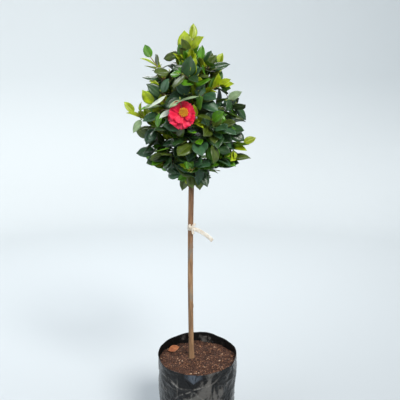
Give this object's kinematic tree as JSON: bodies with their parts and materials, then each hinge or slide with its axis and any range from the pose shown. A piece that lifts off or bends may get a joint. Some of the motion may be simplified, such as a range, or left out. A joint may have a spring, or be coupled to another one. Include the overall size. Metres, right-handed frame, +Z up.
{
  "type": "potted standard camellia",
  "caption": "Camellia trained as a standard: a rounded leafy crown with one red bloom on a slim clear trunk, in a filled black planter bag that stands on its flat underside.",
  "frame": {"origin": "middle of the bag's flat underside, where it stands on the ground", "axes": "+Z up along the trunk; the side with the open bloom faces -Y; +X to the right seen from there"},
  "size_m": [0.4564, 0.4029, 1.5257],
  "materials": {
    "film": "glossy wrinkled black polythene film",
    "compost": "rough moist composted bark",
    "bark": "matt ridged tan-brown bark",
    "foliage": "glossy leathery dark green leaf",
    "young_leaf": "glossy soft lime green leaf",
    "petal": "satin red petal",
    "stamen": "matt golden stamens",
    "label": "weathered blank white plastic strip"
  },
  "bodies": {
    "root": {"bough_back": "bark", "bough_back_left": "bark", "bough_back_right": "bark", "bough_front": "bark", "bough_leader": "bark", "bough_left": "bark", "bough_left_front": "bark", "bough_low_back": "bark", "bough_low_front": "bark", "bough_low_left": "bark", "bough_low_right": "bark", "bough_right": "bark", "bough_right_front": "bark", "bough_top_back": "bark", "bough_top_front": "bark", "bough_top_left": "bark", "bough_top_right": "bark", "foliage_back": "foliage", "foliage_back_left": "foliage", "foliage_back_right": "foliage", "foliage_front": "foliage", "foliage_leader": "foliage", "foliage_left": "foliage", "foliage_left_front": "foliage", "foliage_low_back": "foliage", "foliage_low_front": "foliage", "foliage_low_left": "foliage", "foliage_low_right": "foliage", "foliage_right": "foliage", "foliage_right_front": "foliage", "foliage_top_back": "foliage", "foliage_top_front": "foliage", "foliage_top_left": "foliage", "foliage_top_right": "foliage", "nursery_bag": "film", "plant_label": "label", "potting_soil": "compost", "trunk": "bark"}
  },
  "joints": []
}
